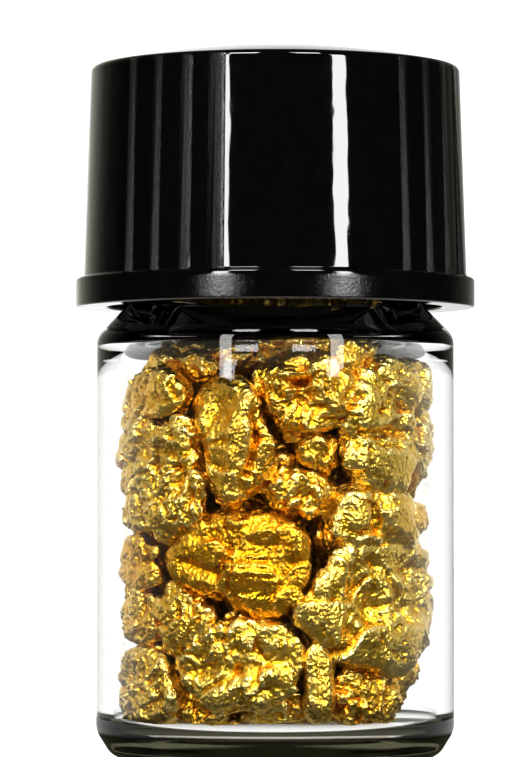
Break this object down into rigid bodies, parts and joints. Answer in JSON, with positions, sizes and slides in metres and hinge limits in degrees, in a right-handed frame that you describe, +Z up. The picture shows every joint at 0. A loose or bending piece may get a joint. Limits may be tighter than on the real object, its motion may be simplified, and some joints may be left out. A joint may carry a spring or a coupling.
{
  "type": "sample vial",
  "caption": "Short clear glass vial filled with loose gold nuggets, closed by a ribbed black screw cap with a two-ply liner.",
  "frame": {"origin": "on the vial's axis, on the plane of the standing ring under its foot", "axes": "+Z up along the vial's axis; -Y towards the front, where the named nuggets lie against the glass"},
  "size_m": [0.019, 0.019, 0.0337],
  "materials": {
    "clear_glass": "clear, fire-polished",
    "black_plastic": "glossy moulded, finely grained on the grip ribs",
    "liner_foam": "black closed-cell foam",
    "liner_film": "smooth black film",
    "native_gold": "crumpled and pitted native gold, polished on its high points"
  },
  "bodies": {
    "vial": {"glass_vial": "clear_glass", "nugget_01": "native_gold", "nugget_02": "native_gold", "nugget_03": "native_gold", "nugget_04": "native_gold", "nugget_05": "native_gold", "nugget_06": "native_gold", "nugget_07": "native_gold", "nugget_08": "native_gold", "nugget_09": "native_gold", "nugget_10": "native_gold", "nugget_11": "native_gold", "nugget_12": "native_gold", "nugget_13": "native_gold", "nugget_14": "native_gold", "nugget_15": "native_gold", "nugget_16": "native_gold", "nugget_17": "native_gold", "nugget_18": "native_gold", "nugget_19": "native_gold", "nugget_20": "native_gold", "nugget_21": "native_gold", "nugget_22": "native_gold", "nugget_23": "native_gold", "nugget_24": "native_gold", "nugget_almond": "native_gold", "nugget_bean": "native_gold", "nugget_boulder": "native_gold", "nugget_bud": "native_gold", "nugget_chip": "native_gold", "nugget_clam": "native_gold", "nugget_crumb": "native_gold", "nugget_dark_pea": "native_gold", "nugget_drop": "native_gold", "nugget_finger": "native_gold", "nugget_heel_stone": "native_gold", "nugget_knuckle": "native_gold", "nugget_left_cheek": "native_gold", "nugget_left_ear": "native_gold", "nugget_loaf": "native_gold", "nugget_mitten": "native_gold", "nugget_molar": "native_gold", "nugget_pea": "native_gold", "nugget_popcorn": "native_gold", "nugget_right_cheek": "native_gold", "nugget_right_ear": "native_gold", "nugget_seed": "native_gold", "nugget_shell": "native_gold", "nugget_splinter": "native_gold", "nugget_toe": "native_gold", "nugget_tooth": "native_gold", "nugget_top_crumb": "native_gold", "nugget_top_left": "native_gold", "nugget_top_mid": "native_gold", "nugget_wedge": "native_gold"},
    "liner": {"liner_backing": "liner_foam", "liner_facing": "liner_film"},
    "cap": {"screw_cap": "black_plastic"}
  },
  "joints": [
    {"name": "cap_rise", "type": "slide", "parent": "vial", "child": "liner", "axis": [0, 0, 1], "range_m": [0, 0.0106]},
    {"name": "cap_turn", "type": "hinge", "parent": "liner", "child": "cap", "pos_m": [0, 0, 0.0263], "axis": [0, 0, 1], "range_deg": [0, 1800]}
  ],
  "couplings": [
    {"joint": "cap_rise", "follows": "cap_turn", "m_per_rad": 0.00033693}
  ]
}
